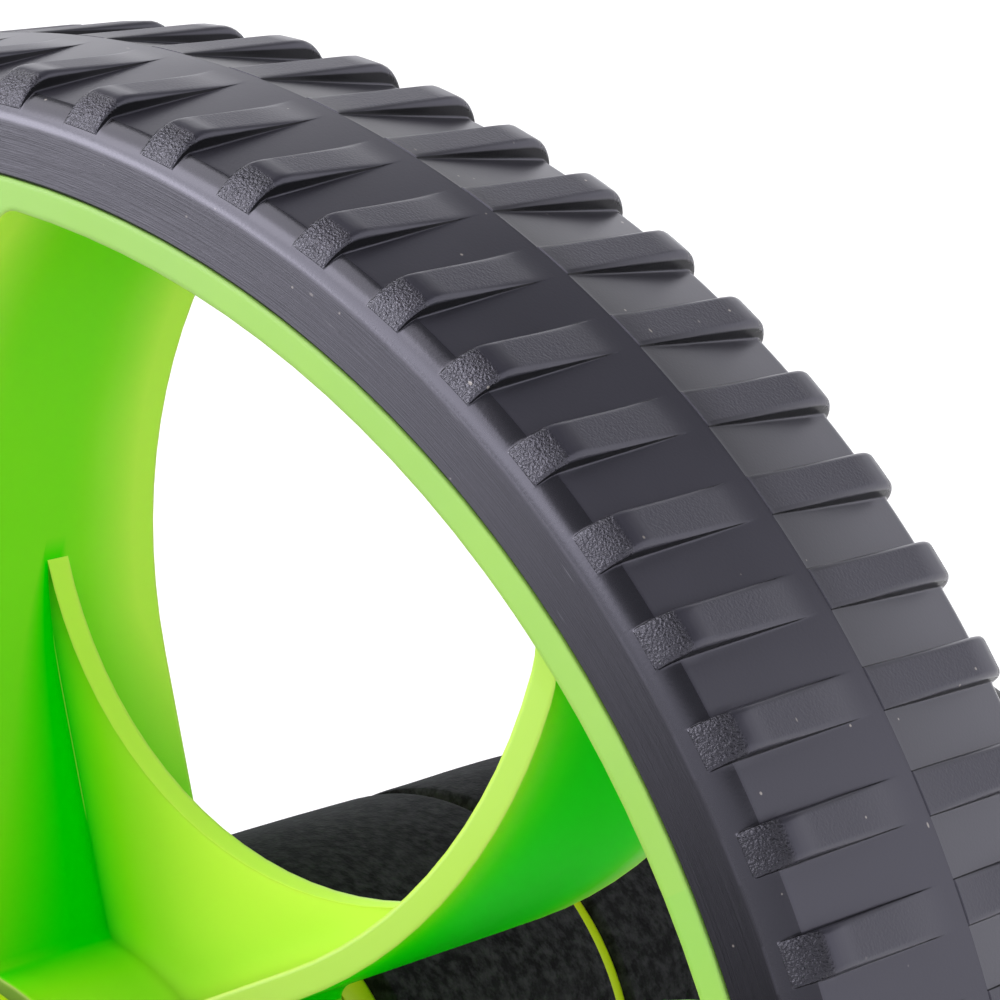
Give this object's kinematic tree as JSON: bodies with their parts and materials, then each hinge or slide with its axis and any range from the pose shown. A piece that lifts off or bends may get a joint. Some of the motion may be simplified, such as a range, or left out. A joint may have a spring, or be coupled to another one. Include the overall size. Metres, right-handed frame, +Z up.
{
  "type": "ab wheel roller",
  "caption": "Exercise roller: a lugged rubber tyre on a moulded hub with petal-shaped pockets turns freely on an axle between two sectioned foam grips.",
  "frame": {"origin": "centre of the wheel, on the axle's axis at the middle of the tread's width", "axes": "+Y along the axle towards the left grip, +Z up, X is the rolling direction"},
  "size_m": [0.18, 0.2434, 0.18],
  "materials": {
    "tread_rubber": "matte, fine grain",
    "lime_plastic": "satin",
    "grip_plastic": "satin",
    "grip_foam": "matte foam",
    "cap_plastic": "matte",
    "bush_plastic": "satin",
    "steel": "turned"
  },
  "bodies": {
    "handle": {"axle": "steel", "retaining_washers": "steel", "retaining_screws": "steel", "thrust_washer_left": "steel", "grip_core_left": "grip_plastic", "end_cap_left": "cap_plastic", "foam_left_inner": "grip_foam", "foam_left_middle": "grip_foam", "foam_left_outer": "grip_foam", "spacer_ring_left_inner": "grip_plastic", "spacer_ring_left_middle": "grip_plastic", "thrust_washer_right": "steel", "grip_core_right": "grip_plastic", "end_cap_right": "cap_plastic", "foam_right_inner": "grip_foam", "foam_right_middle": "grip_foam", "foam_right_outer": "grip_foam", "spacer_ring_right_inner": "grip_plastic", "spacer_ring_right_middle": "grip_plastic"},
    "wheel": {"tyre": "tread_rubber", "hub": "lime_plastic", "bush_left": "bush_plastic", "bush_right": "bush_plastic"}
  },
  "joints": [
    {"name": "wheel_spin", "type": "hinge", "parent": "handle", "child": "wheel", "pos_m": [0, 0, 0], "axis": [0, 1, 0], "continuous": true}
  ]
}
